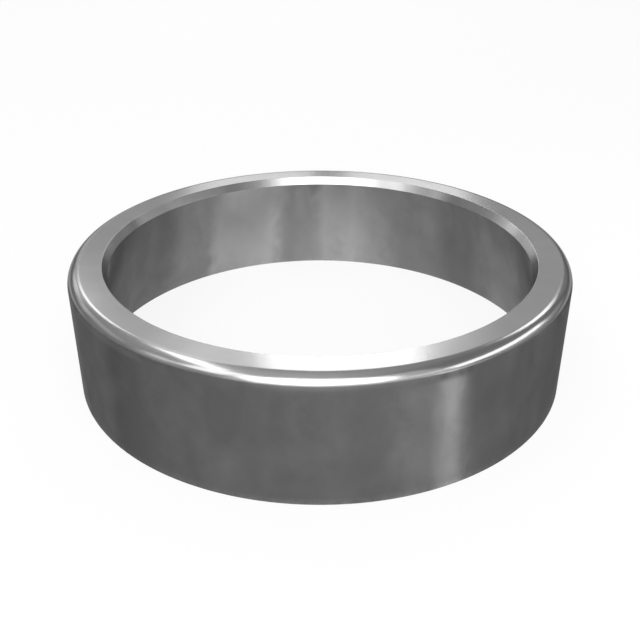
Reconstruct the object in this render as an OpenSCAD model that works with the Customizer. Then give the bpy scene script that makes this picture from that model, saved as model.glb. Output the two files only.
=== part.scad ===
// Bearing race ring with a tapered bore, rolled without a seam and turned all over.
// It stands on its thin end, with the thick end and its rounded corner up.

/* [Body] */
// Outer diameter
outer_d = 300; // [200:1:600]
// Height from end face to end face
height = 74; // [50:0.5:150]

/* [Wall] */
// Wall at the small end of the bore, where the ring is thickest
thick_wall = 23; // [18:0.5:40]
// Wall at the large end of the bore, measured to the sharp corner
thin_wall = 8.2; // [4:0.1:14]

/* [Edges] */
// Radius of the rounded outer corner at the thick end
corner_r = 7.5; // [2:0.1:11]
// Width of the lead-in chamfer at the small end of the bore
lead_in_w = 3; // [1:0.1:5]
// Depth of the lead-in chamfer along the axis
lead_in_h = 5; // [1:0.1:10]
// Size of the 45 degree break on both corners of the thin end
edge_break = 0.4; // [0.1:0.1:1.5]

/* [Hidden] */

outer_r = outer_d / 2;
// Bore radii at the foot of the lead-in chamfer and at the thin end face
small_bore_r = outer_r - thick_wall;
large_bore_r = outer_r - thin_wall;
// Inner edge of the flat face on the thick end
face_r = small_bore_r + lead_in_w;
// Radius that the taper gains for each millimetre down the axis
taper = (large_bore_r - small_bore_r) / (height - lead_in_h);
// How far a cutting shape runs past the surface that it cuts
overrun = 1;
// Smoothness of the corner and of the turned surfaces
corner_fn = 96;
ring_fn = 240;

// Wall outline with a square outer corner: X is the radius and Y the height
module square_section() {
  polygon([
    [outer_r - edge_break, 0],
    [outer_r, edge_break],
    [outer_r, height],
    [face_r, height],
    [small_bore_r, height - lead_in_h],
    [large_bore_r - taper * edge_break, edge_break],
    [large_bore_r + edge_break, 0]
  ]);
}

// What rounding the outer corner takes away
module corner_waste() {
  translate([outer_r - corner_r, height - corner_r]) difference() {
    square(corner_r + overrun);
    circle(corner_r, $fn = corner_fn);
  }
}

module ring() {
  color([0.56, 0.57, 0.58]) rotate_extrude($fn = ring_fn) difference() {
    square_section();
    corner_waste();
  }
}

ring();
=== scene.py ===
import math

import bpy
import numpy as np
from mathutils import Matrix, Vector


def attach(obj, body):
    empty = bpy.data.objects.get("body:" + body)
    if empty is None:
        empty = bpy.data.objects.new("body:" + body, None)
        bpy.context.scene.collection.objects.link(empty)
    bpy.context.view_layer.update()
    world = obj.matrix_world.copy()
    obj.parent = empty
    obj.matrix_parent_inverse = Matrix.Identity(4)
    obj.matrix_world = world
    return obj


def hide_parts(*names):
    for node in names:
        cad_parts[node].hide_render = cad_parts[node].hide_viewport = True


bl_info = {
    "name": "Rolled race ring",
    "version": (1, 0, 0),
    "blender": (4, 5, 0),
    "location": "View3D > Sidebar > Race ring",
    "description": "Builds a turned, tapered-bore race ring and the studio it stands in",
    "category": "Object",
}

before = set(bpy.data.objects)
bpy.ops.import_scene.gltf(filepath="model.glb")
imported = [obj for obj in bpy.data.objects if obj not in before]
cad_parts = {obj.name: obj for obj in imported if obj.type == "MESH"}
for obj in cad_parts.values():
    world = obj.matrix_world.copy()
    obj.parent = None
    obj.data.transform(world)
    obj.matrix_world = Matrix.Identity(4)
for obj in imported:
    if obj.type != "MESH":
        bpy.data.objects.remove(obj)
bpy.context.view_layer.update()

MM = 0.001
NODE = "ring"
BODY = "root"
# Two heights or radii closer than this are one corner of the section
SAME = 0.02 * MM
# Extra points inside each end of a straight side, and the longest step between them
SIDE_SUPPORT = 0.3 * MM
LONGEST_STEP = 4 * MM

# Circle that the cloudy patches are laid round, about the middle of the ring's wall
CLOUD_CIRCLE = 140 * MM
# The fine layer of the patches against the broad one: how much finer, and its strength
FINE_LAYER = 2.6
FINE_SHARE = 0.35
# Both layers together where the patches are halfway from dark to pale, and the contrast
CLOUD_MIDDLE = 0.5 * (1.0 + FINE_SHARE)
CLOUD_CONTRAST = 3.4
# How much longer than wide the patches are, and which patches out of many
DRAWN = 1.4
SEED = 106.0
BORE_DRAWN = 1.6
BORE_SEED = 63.0
# The slow waves against the patches: their width, and a shift to other noise
WAVE_WIDTH = 1.6
WAVE_SHIFT = 7.0
# How much of the waves is left where the skin mask, a darker skin with painted shade, is 0
BARE_WAVES = 0.15
# How much smoother the steel is on a wave's crest than halfway
WAVE_POLISH = 0.10
# Height of the turning lines, and how often they change in a metre along their length
LINE_HEIGHT = 0.05 * MM
LINE_CHANGES = 7.0
# How far the cloudy patches move the edge of a painted band (painted reflection and painted
# shade), as a change of cosine
PAINTED_BAND_RAGGED = 0.004
# The heights between which each painted band goes from its first level to its second
BORE_PAINTED_BAND_HEIGHTS = (20 * MM, 68 * MM)
CHAMFER_PAINTED_BAND_HEIGHTS = (69 * MM, 74 * MM)
WALL_PAINTED_BAND_HEIGHTS = (64.5 * MM, 67.8 * MM)

# Degrees that the rounded corner has turned upwards where the wall's steel ends, and
# where its dark skin, partly a darker finish and partly painted shade, begins and ends its fade
WALL_LEAN = 22.0
SKIN_AND_SHADE_LEAN = (21.0, 35.0)
# Wear of the thin end's inner corner, the foot of the bore, the chamfer's lower and
# upper edge, the foot of the wall and the thin end's outer corner
EDGE_WEAR = (0.3, 0.3, 0.0, 0.15, 0.3, 0.3)
# Distance from an edge out to which its wear is full, and where it has gone
WEAR_REACH = (0.2 * MM, 1.0 * MM)
# Contrast of the fine noise that breaks the wear up, and how much of it is cut off
WEAR_CONTRAST = 2.2
WEAR_CUT = 0.6

# Height on the axis that every lamp faces
LAMP_AIM = 60 * MM
# Width of the camera's film, in millimetres
FILM_WIDTH = 36.0


# ---------------------------------------------------------------- section of the ring

def section_of_node(name):
    """The seven corners of the ring's section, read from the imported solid.

    Each vertex of the solid is taken as (radius from the axis, height). The flat
    faces are the vertices at the lowest and the highest height. The bore's small
    end is the smallest radius of all, and the outer wall is the largest.
    Returns (corners, corner radius), where the rounded outer corner is given
    by the point where its two sides would meet.
    """
    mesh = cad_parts[name].data
    points = np.empty(len(mesh.vertices) * 3)
    mesh.vertices.foreach_get("co", points)
    points = points.reshape(-1, 3)
    radius = np.hypot(points[:, 0], points[:, 1])
    height = points[:, 2]
    top = height.max()
    outer = radius.max()
    on_top = height > top - SAME
    on_bottom = height < height.min() + SAME
    on_wall = radius > outer - SAME
    small_end = np.argmin(radius)
    corner = outer - radius[on_top].max()
    edge_break = height[on_wall].min()
    bore_low = (height < edge_break + SAME) & (radius < radius[on_bottom].min() - SAME)
    corners = [
        (radius[on_bottom].min(), 0.0),
        (radius[bore_low].max(), edge_break),
        (radius[small_end], height[small_end]),
        (radius[on_top].min(), top),
        (outer, top),
        (outer, edge_break),
        (radius[on_bottom].max(), 0.0),
    ]
    return np.array(corners), corner


def rounded_outline(corners, radii, arc_steps, support, longest):
    """A closed outline with an arc at each corner and straight sides between them.

    An arc of radius r touches both sides at r / tan(half the angle between
    them) from the corner, and its points turn evenly about its centre. Each
    side then gets a point just inside either end, a fifth of the way along at
    most, so that shading stays flat along it, and even points between them, no
    further apart than the longest step.
    """
    count = len(corners)
    starts, ends, arcs = [], [], []
    for i in range(count):
        point = corners[i]
        before = corners[i - 1] - point
        after = corners[(i + 1) % count] - point
        before /= np.linalg.norm(before)
        after /= np.linalg.norm(after)
        half = 0.5 * math.acos(np.clip(before @ after, -1.0, 1.0))
        reach = radii[i] / math.tan(half)
        middle = (before + after) / np.linalg.norm(before + after)
        centre = point + middle * radii[i] / math.sin(half)
        first = point + before * reach - centre
        last = point + after * reach - centre
        swing = math.pi - 2.0 * half
        turn = np.linspace(0.0, 1.0, arc_steps[i] + 1)[:, None]
        arc = (np.sin((1 - turn) * swing) * first + np.sin(turn * swing) * last) / math.sin(swing)
        arcs.append(centre + arc)
        starts.append(centre + first)
        ends.append(centre + last)
    outline = []
    for i in range(count):
        outline.append(arcs[i])
        side = starts[(i + 1) % count] - ends[i]
        length = np.linalg.norm(side)
        inset = min(support, 0.2 * length)
        steps = max(1, math.ceil((length - 2 * inset) / longest))
        along = np.linspace(inset, length - inset, steps + 1)[:, None] / length
        outline.append(ends[i] + along * side)
    return np.concatenate(outline)


def lathe(name, outline, segments):
    """A closed outline of (radius, height) carried once round the Z axis.

    Vertex (i, j) is outline point j at angle 2 pi i / segments:
    x = radius cos(angle), y = radius sin(angle), z = height. The last segment
    and the last outline point join the first ones, so there is no seam.
    The UV map has U along the outline and V round the axis, in metres.
    """
    count = len(outline)
    angle = np.arange(segments) * (2 * math.pi / segments)
    radius, height = outline[:, 0], outline[:, 1]
    points = np.empty((segments, count, 3))
    points[..., 0] = np.cos(angle)[:, None] * radius
    points[..., 1] = np.sin(angle)[:, None] * radius
    points[..., 2] = height
    i, j = np.meshgrid(np.arange(segments), np.arange(count), indexing="ij")
    i_next, j_next = (i + 1) % segments, (j + 1) % count
    corners = [(i, j), (i, j_next), (i_next, j_next), (i_next, j)]
    faces = np.stack([a * count + b for a, b in corners], axis=-1).reshape(-1, 4)
    mesh = bpy.data.meshes.new(name)
    mesh.from_pydata(points.reshape(-1, 3), [], faces)
    step = np.linalg.norm(np.roll(outline, -1, axis=0) - outline, axis=1)
    along = np.concatenate([[0.0], np.cumsum(step)])
    girth = 2 * math.pi * radius.max()
    u = np.stack([along[j], along[j + 1], along[j + 1], along[j]], axis=-1)
    v = np.stack([i, i, i + 1, i + 1], axis=-1) * girth / segments
    layer = mesh.uv_layers.new(name="turned")
    layer.data.foreach_set("uv", np.stack([u, v], axis=-1).ravel())
    mesh.polygons.foreach_set("use_smooth", np.ones(len(faces), dtype=bool))
    mesh.update()
    piece = bpy.data.objects.new(name, mesh)
    bpy.context.scene.collection.objects.link(piece)
    return piece


def round_mask(mesh, name, along_outline, segments):
    """A point attribute that has one value per outline point, the same all the way round."""
    layer = mesh.attributes.new(name, "FLOAT", "POINT")
    layer.data.foreach_set("value", np.tile(along_outline, segments).astype(np.float32))


def smooth_step(value, low, high):
    """0 below low, 1 above high, and 3 t^2 - 2 t^3 between, with t running from 0 to 1."""
    t = np.clip((value - low) / (high - low), 0.0, 1.0)
    return t * t * (3.0 - 2.0 * t)


# ---------------------------------------------------------------- finishes

def add(tree, kind, links=None, **settings):
    """A node with its settings, and links from sockets or plain values to its inputs."""
    node = tree.nodes.new(kind)
    for key, value in settings.items():
        setattr(node, key, value)
    for key, value in (links or {}).items():
        if hasattr(value, "links"):
            tree.links.new(value, node.inputs[key])
        else:
            node.inputs[key].default_value = value
    return node


def maths(tree, operation, first, second=0.0, third=0.0, clamp=False):
    """The result of one maths node."""
    node = add(tree, "ShaderNodeMath", {0: first, 1: second, 2: third}, operation=operation)
    node.use_clamp = clamp
    return node.outputs[0]


def blend(tree, kind, mask, first, second):
    """first where the mask is 0, second where it is 1."""
    node = tree.nodes.new("ShaderNodeMix")
    node.data_type = kind
    pick = {"FLOAT": (2, 3, 0), "RGBA": (6, 7, 2)}[kind]
    for socket, value in ((node.inputs[0], mask), (node.inputs[pick[0]], first),
                          (node.inputs[pick[1]], second)):
        if hasattr(value, "links"):
            tree.links.new(value, socket)
        else:
            socket.default_value = value
    return node.outputs[pick[2]]


def shaded(tree, vector, amount):
    """A colour made lighter or darker, or a vector made longer or shorter, by an amount."""
    node = add(tree, "ShaderNodeVectorMath", {0: vector, "Scale": amount}, operation="SCALE")
    return node.outputs[0]


def flattened(tree, place):
    """A place with its height taken away."""
    node = add(tree, "ShaderNodeVectorMath", {0: place, 1: (1.0, 1.0, 0.0)}, operation="MULTIPLY")
    return node.outputs[0]


def new_group(name, inputs, outputs):
    """A node group of plain values, with its nodes for what goes in and what comes out."""
    group = bpy.data.node_groups.new(name, "ShaderNodeTree")
    for socket, default in inputs:
        item = group.interface.new_socket(socket, in_out="INPUT", socket_type="NodeSocketFloat")
        item.default_value = default
    for socket in outputs:
        group.interface.new_socket(socket, in_out="OUTPUT", socket_type="NodeSocketFloat")
    return group, group.nodes.new("NodeGroupInput"), group.nodes.new("NodeGroupOutput")


def grouped(tree, group, **values):
    """The first output of a node group with its inputs set."""
    node = tree.nodes.new("ShaderNodeGroup")
    node.node_tree = group
    for key, value in values.items():
        node.inputs[key].default_value = value
    return node.outputs[0]


def cloud_group():
    """Cloudy patches: two layers of noise laid round the ring, a broad one and a fine one.

    A point is taken at its turn about the axis, on a circle of fixed radius, and at its
    height less its radius, so that a patch runs straight down the tapered bore. Patch is
    how many metres a patch is across, and Drawn how many times longer it is than wide.
    Cloud runs from -1 to 1.
    """
    group, into, out = new_group(
        "cloudy_patches", [("Patch", 0.02), ("Drawn", 1.0), ("Seed", 0.0)], ["Cloud"])
    place = add(group, "ShaderNodeTexCoord").outputs["Object"]
    flat = flattened(group, place)
    radius = add(group, "ShaderNodeVectorMath", {0: flat}, operation="LENGTH").outputs["Value"]
    turn = add(group, "ShaderNodeVectorMath", {0: flat}, operation="NORMALIZE").outputs[0]
    circle = shaded(group, turn, CLOUD_CIRCLE)
    height = add(group, "ShaderNodeSeparateXYZ", {0: place}).outputs["Z"]
    along = maths(group, "DIVIDE", maths(group, "SUBTRACT", height, radius), into.outputs["Drawn"])
    along = add(group, "ShaderNodeCombineXYZ", {"Z": along}).outputs[0]
    place = add(group, "ShaderNodeVectorMath", {0: circle, 1: along}, operation="ADD").outputs[0]
    scale = maths(group, "DIVIDE", 1.0, into.outputs["Patch"])
    wide = add(group, "ShaderNodeTexNoise", {
        "Vector": place, "W": into.outputs["Seed"], "Scale": scale, "Detail": 1.5,
        "Roughness": 0.5, "Distortion": 0.8}, noise_dimensions="4D")
    fine_scale = maths(group, "MULTIPLY", scale, FINE_LAYER)
    fine = add(group, "ShaderNodeTexNoise", {
        "Vector": place, "W": into.outputs["Seed"], "Scale": fine_scale, "Detail": 3.0,
        "Roughness": 0.55, "Distortion": 1.2}, noise_dimensions="4D")
    both = maths(group, "MULTIPLY_ADD", fine.outputs[0], FINE_SHARE, wide.outputs[0])
    centred = maths(group, "MULTIPLY_ADD", both, CLOUD_CONTRAST, -CLOUD_CONTRAST * CLOUD_MIDDLE)
    soft = maths(group, "MINIMUM", maths(group, "MAXIMUM", centred, -1.0), 1.0)
    group.links.new(soft, out.inputs["Cloud"])
    return group


def painted_band_group(name, painted_bands, low, high):
    """Upright bands of paler or darker steel.

    The bands are painted light fixed round the ring: the paler ones are painted
    reflections and the darker ones painted shade. A band's mask is the smooth step of the
    cosine of the angle from its centre: 0 at its half width and softness together, 1 at
    its half width less its softness. The cloudy patches move its edge a little. Its level
    goes evenly from its first to its second value between the low and the high height.
    Level adds up mask times level.
    """
    group, into, out = new_group(name, [("Cloud", 0.0)], ["Level"])
    place = add(group, "ShaderNodeTexCoord").outputs["Object"]
    flat = flattened(group, place)
    turn = add(group, "ShaderNodeVectorMath", {0: flat}, operation="NORMALIZE").outputs[0]
    height = add(group, "ShaderNodeSeparateXYZ", {0: place}).outputs["Z"]
    rise = add(group, "ShaderNodeMapRange", {
        "Value": height, "From Min": low, "From Max": high}).outputs[0]
    total = 0.0
    for centre, half, softness, first, second in painted_bands:
        centre, half, softness = (math.radians(angle) for angle in (centre, half, softness))
        aim = (math.sin(centre), -math.cos(centre), 0.0)
        near = add(group, "ShaderNodeVectorMath", {0: turn, 1: aim}, operation="DOT_PRODUCT")
        near = near.outputs["Value"]
        near = maths(group, "MULTIPLY_ADD", into.outputs["Cloud"], PAINTED_BAND_RAGGED, near)
        mask = add(group, "ShaderNodeMapRange", {
            "Value": near, "From Min": math.cos(half + softness),
            "From Max": math.cos(max(half - softness, 0.0))}, interpolation_type="SMOOTHSTEP")
        mask = mask.outputs[0]
        level = blend(group, "FLOAT", rise, first, second)
        total = maths(group, "MULTIPLY_ADD", mask, level, total)
    group.links.new(total, out.inputs["Level"])
    return group


def turning_group():
    """Turning lines: noise that is fine along the outline and drawn out round the axis.

    Pitch is metres from line to line. Height runs from 0 to 1.
    """
    group, into, out = new_group("turning_lines", [("Pitch", 0.0006)], ["Height"])
    turned = add(group, "ShaderNodeUVMap", uv_map="turned").outputs[0]
    along = add(group, "ShaderNodeSeparateXYZ", {0: turned}).outputs["X"]
    lines = maths(group, "DIVIDE", along, into.outputs["Pitch"])
    place = add(group, "ShaderNodeTexCoord").outputs["Object"]
    split = add(group, "ShaderNodeSeparateXYZ", {0: place})
    drawn = add(group, "ShaderNodeCombineXYZ", {
        "X": lines, "Y": maths(group, "MULTIPLY", split.outputs["X"], LINE_CHANGES),
        "Z": maths(group, "MULTIPLY", split.outputs["Y"], LINE_CHANGES)})
    noise = add(group, "ShaderNodeTexNoise", {
        "Vector": drawn.outputs[0], "Scale": 1.0, "Detail": 2.0, "Roughness": 0.6})
    group.links.new(noise.outputs[0], out.inputs["Height"])
    return group


def wear_group():
    """Edge wear: the mesh's edge mask, broken up by fine noise.

    Grain is how many times the noise changes in a metre, and Amount how bright the wear
    is. Worn runs from 0 to 1.
    """
    group, into, out = new_group("edge_wear", [("Amount", 0.5), ("Grain", 300.0)], ["Worn"])
    edge = add(group, "ShaderNodeAttribute", attribute_name="edge").outputs["Fac"]
    place = add(group, "ShaderNodeTexCoord").outputs["Object"]
    noise = add(group, "ShaderNodeTexNoise", {
        "Vector": place, "Scale": into.outputs["Grain"], "Detail": 3.0, "Roughness": 0.6})
    broken = maths(
        group, "MULTIPLY_ADD", noise.outputs[0], WEAR_CONTRAST, -WEAR_CUT, clamp=True)
    worn = maths(group, "MULTIPLY", maths(group, "MULTIPLY", edge, broken), into.outputs["Amount"])
    group.links.new(worn, out.inputs["Worn"])
    return group


def steel(name, groups, finish, colour, dark_colour, roughness, dark_roughness, glancing,
          grain, clouds, patch, drawn=DRAWN, seed=SEED, painted_bands=None):
    """Turned steel: bright where the skin mask is 0, dark where it is 1.

    The base colour is the bright or the dark steel, times 1 plus the cloudy patches and
    the bands of painted reflection and painted shade, lightened where an edge is worn.
    The dark steel is partly a darker turned skin and partly painted shade on the steel
    that faces out and down. Turning lines and a slow waviness give the bump, and the
    waves' crests are a little smoother.
    """
    material = bpy.data.materials.new(name)
    material.use_nodes = True
    tree = material.node_tree
    shader = tree.nodes["Principled BSDF"]
    # Skin mask: the dark steel is partly a darker finish and partly painted shade
    skin = add(tree, "ShaderNodeAttribute", attribute_name="skin").outputs["Fac"]
    cloud = grouped(tree, groups["cloud"], Patch=patch, Drawn=drawn, Seed=seed)
    wave = grouped(
        tree, groups["cloud"], Patch=patch * WAVE_WIDTH, Drawn=drawn, Seed=seed + WAVE_SHIFT)
    lines = grouped(tree, groups["turning"], Pitch=finish.pitch)
    worn = grouped(tree, groups["wear"], Amount=finish.wear)
    base = blend(tree, "RGBA", skin, (*colour, 1.0), (*dark_colour, 1.0))
    depth = blend(tree, "FLOAT", skin, clouds, finish.dark_clouds)
    level = maths(tree, "MULTIPLY_ADD", cloud, depth, 1.0)
    # Bands of painted reflection and painted shade add to the steel's level
    if painted_bands:
        painted_node = tree.nodes.new("ShaderNodeGroup")
        painted_node.node_tree = painted_bands
        tree.links.new(cloud, painted_node.inputs["Cloud"])
        level = maths(tree, "ADD", level, painted_node.outputs["Level"])
    base = shaded(tree, base, level)
    base = blend(tree, "RGBA", worn, base, (*finish.worn_colour, 1.0))
    tree.links.new(base, shader.inputs["Base Color"])
    rough = blend(tree, "FLOAT", skin, roughness, dark_roughness)
    rough = maths(tree, "MULTIPLY", rough, maths(tree, "MULTIPLY_ADD", wave, -WAVE_POLISH, 1.0))
    tree.links.new(rough, shader.inputs["Roughness"])
    fine = add(tree, "ShaderNodeBump", {
        "Height": lines, "Strength": finish.line_depth, "Distance": LINE_HEIGHT})
    swell = maths(tree, "MULTIPLY", wave, blend(tree, "FLOAT", skin, BARE_WAVES, 1.0))
    slow = add(tree, "ShaderNodeBump", {
        "Height": swell, "Strength": 1.0, "Distance": finish.waviness, "Normal": fine.outputs[0]})
    tree.links.new(slow.outputs[0], shader.inputs["Normal"])
    tangent = add(tree, "ShaderNodeTangent", direction_type="UV_MAP", uv_map="turned")
    tree.links.new(tangent.outputs["Tangent"], shader.inputs["Tangent"])
    shader.inputs["Metallic"].default_value = 1.0
    shader.inputs["Anisotropic"].default_value = grain
    shader.inputs["Specular Tint"].default_value = (*glancing, 1.0)
    return material


# ---------------------------------------------------------------- settings

class RaceRingSizes(bpy.types.PropertyGroup):
    segments: bpy.props.IntProperty(
        name="Segments", description="Facets round the ring", default=512, min=64, max=720)
    corner_steps: bpy.props.IntProperty(
        name="Corner steps", description="Facets across the rounded outer corner", default=36)
    edge_steps: bpy.props.IntProperty(
        name="Edge steps", description="Facets across each small edge", default=5)
    soft_edge: bpy.props.FloatProperty(
        name="Soft edge", description="Radius left between the chamfer and the face",
        default=0.2 * MM, unit="LENGTH")
    fine_edge: bpy.props.FloatProperty(
        name="Fine edge", description="Radius left on the other small edges",
        default=0.12 * MM, unit="LENGTH")


class RaceRingFinish(bpy.types.PropertyGroup):
    ground: bpy.props.FloatVectorProperty(
        name="Ground steel", description="Colour of the thick end, chamfer and rounded corner",
        subtype="COLOR", default=(0.50, 0.50, 0.50), min=0, max=1)
    # The outer skin colour is partly a darker turned finish and partly painted shade on the wall
    skin: bpy.props.FloatVectorProperty(
        name="Outer skin", description="Colour of the darker outer wall",
        subtype="COLOR", default=(0.147, 0.147, 0.147), min=0, max=1)
    bore: bpy.props.FloatVectorProperty(
        name="Bore", description="Colour of the turned bore",
        subtype="COLOR", default=(0.305, 0.305, 0.305), min=0, max=1)
    worn_colour: bpy.props.FloatVectorProperty(
        name="Worn edge", description="Colour where an edge is rubbed bright",
        subtype="COLOR", default=(0.55, 0.55, 0.55), min=0, max=1)
    glancing: bpy.props.FloatVectorProperty(
        name="Glancing tint", description="Colour of the steel seen at a low angle",
        subtype="COLOR", default=(0.40, 0.40, 0.40), min=0, max=1)
    chamfer_glancing: bpy.props.FloatVectorProperty(
        name="Chamfer glancing tint", description="Colour of the chamfer seen at a low angle",
        subtype="COLOR", default=(0.9, 0.9, 0.9), min=0, max=1)
    ground_roughness: bpy.props.FloatProperty(
        name="Ground roughness", description="Roughness of the ground faces",
        default=0.19, min=0, max=1)
    wall_roughness: bpy.props.FloatProperty(
        name="Wall roughness", description="Roughness of the turned outer wall",
        default=0.37, min=0, max=1)
    chamfer_roughness: bpy.props.FloatProperty(
        name="Chamfer roughness", description="Roughness of the turned chamfer",
        default=0.25, min=0, max=1)
    bore_roughness: bpy.props.FloatProperty(
        name="Bore roughness", description="Roughness of the turned bore",
        default=0.50, min=0, max=1)
    ground_grain: bpy.props.FloatProperty(
        name="Ground grain", description="How far the grinding lines stretch a highlight",
        default=0.3, min=0, max=1)
    turned_grain: bpy.props.FloatProperty(
        name="Turned grain", description="How far the turning lines stretch a highlight",
        default=1.0, min=0, max=1)
    patch: bpy.props.FloatProperty(
        name="Patch size", description="Size of the cloudy patches outside the bore",
        default=20 * MM, unit="LENGTH")
    bore_patch: bpy.props.FloatProperty(
        name="Bore patch size", description="Size of the cloudy patches in the bore",
        default=18 * MM, unit="LENGTH")
    bore_clouds: bpy.props.FloatProperty(
        name="Bore clouds", description="Depth of the cloudy patches in the bore",
        default=0.10, min=0, max=1)
    bright_clouds: bpy.props.FloatProperty(
        name="Bright clouds", description="Depth of the cloudy patches on the ground steel",
        default=0.04, min=0, max=1)
    dark_clouds: bpy.props.FloatProperty(
        name="Dark clouds", description="Depth of the cloudy patches on the outer skin",
        default=0.14, min=0, max=1)
    waviness: bpy.props.FloatProperty(
        name="Waviness", description="Height of the slow waves in the surface",
        default=0.12 * MM, unit="LENGTH")
    pitch: bpy.props.FloatProperty(
        name="Line pitch", description="From one turning line to the next",
        default=0.7 * MM, unit="LENGTH")
    line_depth: bpy.props.FloatProperty(
        name="Line depth", description="Strength of the turning lines", default=0.10, min=0, max=1)
    wear: bpy.props.FloatProperty(
        name="Edge wear", description="How bright the edges are rubbed", default=0.5, min=0, max=1)


class RaceRingStudio(bpy.types.PropertyGroup):
    floor: bpy.props.FloatVectorProperty(
        name="Floor", description="Colour of the floor", subtype="COLOR",
        default=(0.9, 0.9, 0.9), min=0, max=1)
    floor_lift: bpy.props.FloatProperty(
        name="Floor lift", description="How far the seen floor is lifted to plain white",
        default=0.86, min=0, max=1)
    far_floor: bpy.props.FloatVectorProperty(
        name="Far floor", description="Colour that the floor fades to", subtype="COLOR",
        default=(0.62, 0.62, 0.62), min=0, max=1)
    floor_near: bpy.props.FloatProperty(
        name="Near", description="Out to here the floor keeps its own colour",
        default=1.8, unit="LENGTH")
    floor_far: bpy.props.FloatProperty(
        name="Far", description="From here on the floor is wholly faded",
        default=9.0, unit="LENGTH")
    ambient: bpy.props.FloatProperty(
        name="Ambient", description="How bright the plain surroundings are", default=0.36, min=0)
    overhead: bpy.props.FloatProperty(
        name="Overhead", description="How much brighter they are straight above", default=0.26)
    right_shade: bpy.props.FloatProperty(
        name="Right shade", description="How much darker they are high on the right", default=0.7)
    darkest: bpy.props.FloatProperty(
        name="Darkest", description="How bright they stay on the right", default=0.25)
    low_shade: bpy.props.FloatProperty(
        name="Low shade", description="How much darker they are just above the floor", default=0.3)
    camera_distance: bpy.props.FloatProperty(
        name="Camera distance", description="From the camera to the point it looks at",
        default=0.5423, unit="LENGTH")
    camera_height: bpy.props.FloatProperty(
        name="Aim height", description="Height on the ring's axis that the camera looks at",
        default=0.02318, unit="LENGTH")
    camera_pitch: bpy.props.FloatProperty(
        name="Camera pitch", description="How far the camera looks down",
        default=math.radians(28.53), subtype="ANGLE")
    lens: bpy.props.FloatProperty(
        name="Lens", description="Focal length in millimetres on a 36 mm wide film",
        default=47.80, unit="CAMERA")


# Each upright painted band, a painted reflection where paler and painted shade where
# darker: turn from the front towards the right, half width and softness (degrees), and
# how much paler (above 0) or darker (below 0) the steel is at the lower and at the upper
# of the band's two heights
BORE_PAINTED_BANDS = (
    (205, 10.5, 3.0, 0.64, 0.15),
    (186, 4.5, 3.0, -0.22, -0.36),
    (177, 5.0, 4.0, 0.02, -0.26),
    (165, 8.0, 5.0, 0.18, -0.15),
    (133, 5.0, 4.0, -0.16, -0.12),
    (112, 7.0, 5.0, 0.38, 0.06),
    (223, 7.0, 4.0, 0.12, 0.10),
    (234, 4.0, 3.0, -0.04, -0.14),
)
CHAMFER_PAINTED_BANDS = (
    (202, 9.5, 4.0, -0.42, -0.42),
    (240, 8.0, 5.0, 0.40, 0.40),
    (281, 8.0, 4.0, 0.26, 0.26),
    (147, 4.0, 3.0, -0.22, -0.22),
    (124, 11.0, 4.0, -0.34, -0.34),
    (97, 11.0, 4.0, 0.24, 0.24),
    (82, 6.0, 4.0, 0.35, 0.35),
)
WALL_PAINTED_BANDS = (
    (-2, 10.0, 6.0, -0.25, -0.20),
    (21, 4.0, 4.0, 0.12, -0.02),
    (25.5, 3.5, 2.5, 0.0, -0.36),
    (25, 1.0, 2.0, 0.0, -0.22),
    (-42, 4.0, 3.0, -0.10, 0.25),
    (-54, 6.0, 4.0, 0.22, 0.42),
    (-66, 2.5, 2.0, 0.20, 0.50),
    (55, 6.0, 4.0, 0.16, 0.20),
    (63, 3.0, 3.0, 0.0, 0.35),
)

# Each softbox: name, turn from the front towards the right and rise above the floor
# (degrees), width and height (metres), roll (degrees), how bright its face is beside
# white, and distance (metres)
SOFTBOXES = (
    ("key_softbox", -1, 41, 2.05, 1.95, 0, 2.35, 2.0),
    ("left_key_softbox", -54, 47, 0.60, 0.95, 0, 1.6, 2.0),
    ("right_key_softbox", 46, 48, 0.70, 1.10, 0, 0.4, 2.2),
    ("right_glow", 43, 27, 0.85, 0.60, 0, 0.75, 2.2),
    ("front_low_glow", -3, 16, 1.30, 0.50, 0, 1.8, 2.1),
    ("front_left_glow", -31, 17, 0.60, 0.50, 0, 0.8, 2.1),
    ("front_right_glow", 32, 17, 1.10, 0.60, 0, 0.45, 2.1),
    ("left_side_glow", -65, 15, 1.20, 0.60, 0, 0.18, 2.2),
    ("right_side_glow", 100, 15, 1.80, 0.50, 0, 0.24, 2.1),
    ("right_back_glow", 148, 17, 1.10, 0.45, 0, 0.14, 2.1),
    ("left_glow", -73, 32, 0.45, 0.45, 0, 0.7, 2.0),
    ("left_strip", -113, 61.4, 1.62, 0.33, 15, 2.35, 2.0),
    ("left_strip_end", -161, 42, 0.60, 0.30, 45, 1.0, 2.0),
    ("right_strip", 75, 25.4, 0.43, 0.100, -2, 2.15, 0.506),
    ("right_back_lamp", 143.5, 35, 0.45, 0.42, 0, 2.35, 2.0),
    ("left_back_lamp", -151.5, 30.5, 0.34, 0.36, 0, 2.1, 2.0),
    ("left_back_glow", -143, 24, 0.45, 0.60, 0, 0.3, 2.1),
    ("left_low_lamp", -136, 18, 0.44, 0.40, 0, 0.90, 2.0),
    ("left_low_side", -122, 18, 0.42, 0.40, 0, 0.40, 2.0),
    ("left_low_glow", -110, 25, 1.20, 0.35, 0, 0.25, 2.1),
    ("back_strip", 177.7, 31, 0.47, 0.34, 0, 2.6, 2.0),
    ("back_glow", 179, 31, 0.90, 0.34, 0, 0.45, 2.1),
    ("back_low_left", -174, 20, 0.36, 0.32, 0, 1.55, 2.0),
    ("back_low_right", 172.4, 20, 0.36, 0.32, 0, 1.75, 2.0),
    ("back_fill", 180, 19, 2.60, 1.40, 0, 0.30, 2.3),
    ("left_back_low", -155, 11, 0.62, 0.45, 0, 0.45, 2.0),
    ("wall_tube", 52, 2.5, 0.32, 0.26, 0, 25.0, 2.0),
    ("low_tube", 36, 2.5, 0.46, 0.26, 0, 5.0, 2.0),
)


# ---------------------------------------------------------------- operators

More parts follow.
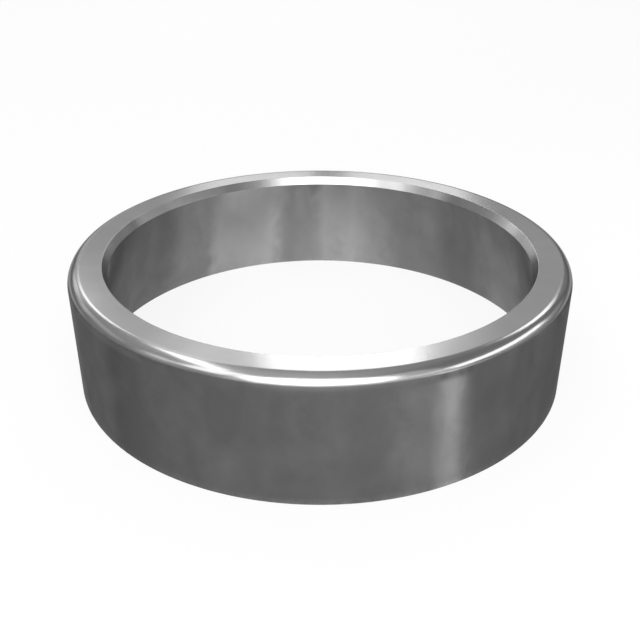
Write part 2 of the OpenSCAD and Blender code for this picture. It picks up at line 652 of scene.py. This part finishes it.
class RACERING_OT_ring(bpy.types.Operator):
    """Builds the ring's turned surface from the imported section"""
    bl_idname = "race_ring.ring"
    bl_label = "Ring"

    def execute(self, context):
        sizes = context.scene.race_ring_sizes
        finish = context.scene.race_ring_finish
        corners, corner_r = section_of_node(NODE)
        fine, soft = sizes.fine_edge, sizes.soft_edge
        radii = [fine, fine, fine, soft, corner_r, fine, fine]
        steps = [sizes.edge_steps] * len(radii)
        steps[radii.index(corner_r)] = sizes.corner_steps
        outline = rounded_outline(corners, radii, steps, SIDE_SUPPORT, LONGEST_STEP)
        piece = lathe("turned_ring", outline, sizes.segments)
        mask_ring(piece.data, outline, corners, corner_r, sizes.segments)
        groups = {"cloud": cloud_group(), "turning": turning_group(), "wear": wear_group()}
        # Ground and wall steel darken under the skin mask: partly a darker finish, partly painted
        # shade
        ground = steel(
            "ground_steel", groups, finish,
            colour=finish.ground, dark_colour=finish.skin,
            roughness=finish.ground_roughness, dark_roughness=finish.wall_roughness,
            glancing=finish.glancing, grain=finish.ground_grain,
            clouds=finish.bright_clouds, patch=finish.patch)
        # The wall, chamfer and bore carry bands of painted reflection and painted shade
        wall = steel(
            "wall_steel", groups, finish,
            colour=finish.skin, dark_colour=finish.skin,
            roughness=finish.wall_roughness, dark_roughness=finish.wall_roughness,
            glancing=finish.glancing, grain=finish.turned_grain,
            clouds=finish.dark_clouds, patch=finish.patch,
            painted_bands=painted_band_group("wall_painted_bands", WALL_PAINTED_BANDS, *WALL_PAINTED_BAND_HEIGHTS))
        chamfer = steel(
            "chamfer_steel", groups, finish,
            colour=finish.ground, dark_colour=finish.ground,
            roughness=finish.chamfer_roughness, dark_roughness=finish.chamfer_roughness,
            glancing=finish.chamfer_glancing, grain=finish.ground_grain,
            clouds=finish.bright_clouds, patch=finish.patch,
            painted_bands=painted_band_group("chamfer_painted_bands", CHAMFER_PAINTED_BANDS, *CHAMFER_PAINTED_BAND_HEIGHTS))
        bore = steel(
            "bore_steel", groups, finish,
            colour=finish.bore, dark_colour=finish.bore,
            roughness=finish.bore_roughness, dark_roughness=finish.bore_roughness,
            glancing=finish.glancing, grain=finish.turned_grain,
            clouds=finish.bore_clouds, patch=finish.bore_patch,
            drawn=BORE_DRAWN, seed=BORE_SEED,
            painted_bands=painted_band_group("bore_painted_bands", BORE_PAINTED_BANDS, *BORE_PAINTED_BAND_HEIGHTS))
        for material in (ground, wall, bore, chamfer):
            piece.data.materials.append(material)
        slots = finish_of_step(outline, corners, corner_r)
        piece.data.polygons.foreach_set("material_index", np.tile(slots, sizes.segments))
        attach(piece, BODY)
        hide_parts(NODE)
        return {"FINISHED"}


def lean_of_corner(points, corners, corner_r):
    """Degrees that the rounded corner has turned upwards at each point: 0 on the wall."""
    rise = (points[:, 1] - (corners[4, 1] - corner_r)) / corner_r
    return np.degrees(np.arcsin(np.clip(rise, 0, 1)))


def finish_of_step(outline, corners, corner_r):
    """Material slot of each step of the outline.

    0 is ground, 1 the wall, 2 the bore and the thin end, and 3 the chamfer.
    """
    middle = 0.5 * (outline + np.roll(outline, -1, axis=0))
    outside = middle[:, 0] > corners[4, 0] - corner_r
    wall = outside & (lean_of_corner(middle, corners, corner_r) < WALL_LEAN)
    bore = ~outside & (middle[:, 1] < corners[2, 1])
    chamfer = ~outside & ~bore & (middle[:, 0] < corners[3, 0])
    return np.select([wall, bore, chamfer], [1, 2, 3], 0).astype(np.int32)


def mask_ring(mesh, outline, corners, corner_r, segments):
    """Marks the dark outer skin and the edges.

    The skin is partly a darker turned finish and partly painted shade on the steel that
    faces out and down. It covers the outer wall and ends softly in the foot of the rounded corner.
    An edge's mask is its own wear at the edge and falls smoothly to 0 at the end of
    the wear's reach.
    """
    lean = lean_of_corner(outline, corners, corner_r)
    outside = outline[:, 0] > corners[4, 0] - corner_r
    # Partly painted shade: steel facing out and down gets the darker skin, fading as the corner
    # turns up
    skin = np.where(outside, 1.0 - smooth_step(lean, *SKIN_AND_SHADE_LEAN), 0.0)
    round_mask(mesh, "skin", skin, segments)
    sharp = corners[[0, 1, 2, 3, 5, 6]]
    gap = np.linalg.norm(outline[:, None, :] - sharp[None, :, :], axis=-1)
    edge = (np.array(EDGE_WEAR) * (1.0 - smooth_step(gap, *WEAR_REACH))).max(axis=1)
    round_mask(mesh, "edge", edge, segments)


class RACERING_OT_stage(bpy.types.Operator):
    """Sets the floor, the lamps and the camera"""
    bl_idname = "race_ring.stage"
    bl_label = "Stage"

    def execute(self, context):
        studio = context.scene.race_ring_studio
        make_floor(studio)
        make_world(studio)
        for softbox in SOFTBOXES:
            make_softbox(*softbox)
        make_camera(studio)
        context.scene.view_settings.view_transform = "Standard"
        return {"FINISHED"}


def make_floor(studio):
    """A pale floor that keeps the ring's shadow and shows nearly white, to eye and steel alike.

    Far off it grows greyer and meets the surroundings without an edge. The change is a
    smooth step in one over the distance, which is even in height as it is seen.
    """
    reach = studio.floor_far * 4.0
    mesh = bpy.data.meshes.new("floor")
    corners = [(-reach, -reach, 0), (reach, -reach, 0), (reach, reach, 0), (-reach, reach, 0)]
    mesh.from_pydata(corners, [], [(0, 1, 2, 3)])
    floor = bpy.data.objects.new("floor", mesh)
    bpy.context.scene.collection.objects.link(floor)
    material = bpy.data.materials.new("floor")
    material.use_nodes = True
    tree = material.node_tree
    place = add(tree, "ShaderNodeTexCoord").outputs["Object"]
    away = add(tree, "ShaderNodeVectorMath", {0: place}, operation="LENGTH").outputs["Value"]
    near = add(tree, "ShaderNodeMapRange", {
        "Value": maths(tree, "DIVIDE", 1.0, away), "From Min": 1.0 / studio.floor_far,
        "From Max": 1.0 / studio.floor_near}, interpolation_type="SMOOTHSTEP").outputs[0]
    colour = blend(tree, "RGBA", near, (*studio.far_floor, 1.0), (*studio.floor, 1.0))
    shader = tree.nodes["Principled BSDF"]
    tree.links.new(colour, shader.inputs["Base Color"])
    shader.inputs["Roughness"].default_value = 1.0
    shader.inputs["Specular IOR Level"].default_value = 0.0
    path = add(tree, "ShaderNodeLightPath").outputs
    seen = maths(tree, "ADD", path["Is Camera Ray"], path["Is Glossy Ray"])
    seen = maths(tree, "ADD", seen, path["Is Transmission Ray"], clamp=True)
    lift = maths(tree, "MULTIPLY", maths(tree, "MULTIPLY", seen, near), studio.floor_lift)
    white = add(tree, "ShaderNodeEmission", {"Color": (1, 1, 1, 1), "Strength": 1.0})
    both = add(tree, "ShaderNodeMixShader", {0: lift, 1: shader.outputs[0], 2: white.outputs[0]})
    tree.links.new(both.outputs[0], tree.nodes["Material Output"].inputs["Surface"])
    mesh.materials.append(material)


def make_world(studio):
    """Plain grey surroundings.

    They grow brighter towards straight above, as the cube of the height, darker
    high on the right, as height times distance to the right, and darker near the
    floor, as the sixth power of one less the height.
    """
    world = bpy.data.worlds.new("studio")
    bpy.context.scene.world = world
    world.use_nodes = True
    tree = world.node_tree
    place = add(tree, "ShaderNodeTexCoord").outputs["Generated"]
    split = add(tree, "ShaderNodeSeparateXYZ", {0: place}).outputs
    rise = maths(tree, "POWER", maths(tree, "MAXIMUM", split["Z"], 0.0), 3.0)
    level = maths(tree, "MULTIPLY_ADD", rise, studio.overhead, studio.ambient)
    right = maths(tree, "MULTIPLY", maths(tree, "MAXIMUM", split["X"], 0.0), split["Z"])
    level = maths(tree, "MULTIPLY_ADD", right, -studio.right_shade, level)
    level = maths(tree, "MAXIMUM", level, studio.darkest)
    low = maths(tree, "SUBTRACT", 1.0, maths(tree, "MAXIMUM", split["Z"], 0.0))
    dusk = maths(tree, "MULTIPLY_ADD", maths(tree, "POWER", low, 6.0), -studio.low_shade, 1.0)
    level = maths(tree, "MULTIPLY", level, dusk)
    background = tree.nodes["Background"]
    background.inputs["Color"].default_value = (1, 1, 1, 1)
    tree.links.new(level, background.inputs["Strength"])


def make_softbox(name, turn, rise, width, height, roll, level, distance):
    """An area lamp at a distance from the ring, facing a point on its axis.

    The lamp's power is pi times its width, its height and its level. This makes the
    face of a lamp with corners as bright as its level, and that of the key lamp, which
    is round, 4 / pi times as bright.
    """
    turn, rise = math.radians(turn), math.radians(rise)
    flat = math.cos(rise)
    away = Vector((flat * math.sin(turn), -flat * math.cos(turn), math.sin(rise)))
    data = bpy.data.lights.new(name, "AREA")
    data.shape = "ELLIPSE" if name == "key_softbox" else "RECTANGLE"
    data.size, data.size_y = width, height
    data.energy = math.pi * width * height * level
    lamp = bpy.data.objects.new(name, data)
    bpy.context.scene.collection.objects.link(lamp)
    lamp.location = Vector((0, 0, LAMP_AIM)) + away * distance
    spin = Matrix.Rotation(math.radians(roll), 4, "Z")
    lamp.rotation_euler = (away.to_track_quat("Z", "Y").to_matrix().to_4x4() @ spin).to_euler()
    lamp.visible_camera = False


def make_camera(studio):
    """A camera straight in front of the ring, looking down at a point on its axis."""
    data = bpy.data.cameras.new("camera")
    data.sensor_width = FILM_WIDTH
    data.lens = studio.lens
    camera = bpy.data.objects.new("camera", data)
    bpy.context.scene.collection.objects.link(camera)
    aim = Vector((0, 0, studio.camera_height))
    away = Vector((0, -math.cos(studio.camera_pitch), math.sin(studio.camera_pitch)))
    camera.location = aim + away * studio.camera_distance
    camera.rotation_euler = (-away).to_track_quat("-Z", "Y").to_euler()
    bpy.context.scene.camera = camera


class RACERING_PT_panel(bpy.types.Panel):
    bl_idname = "RACERING_PT_panel"
    bl_label = "Race ring"
    bl_space_type = "VIEW_3D"
    bl_region_type = "UI"
    bl_category = "Race ring"

    def draw(self, context):
        for operator in OPERATORS:
            self.layout.operator(operator.bl_idname)


GROUPS = {
    "race_ring_sizes": RaceRingSizes,
    "race_ring_finish": RaceRingFinish,
    "race_ring_studio": RaceRingStudio,
}
OPERATORS = (RACERING_OT_ring, RACERING_OT_stage)


def register():
    for group in GROUPS.values():
        bpy.utils.register_class(group)
    for operator in OPERATORS:
        bpy.utils.register_class(operator)
    bpy.utils.register_class(RACERING_PT_panel)
    for name, group in GROUPS.items():
        setattr(bpy.types.Scene, name, bpy.props.PointerProperty(type=group))


def unregister():
    for name in GROUPS:
        delattr(bpy.types.Scene, name)
    bpy.utils.unregister_class(RACERING_PT_panel)
    for operator in reversed(OPERATORS):
        bpy.utils.unregister_class(operator)
    for group in reversed(list(GROUPS.values())):
        bpy.utils.unregister_class(group)


def main():
    register()
    bpy.ops.race_ring.ring()
    bpy.ops.race_ring.stage()


if __name__ == "__main__":
    main()
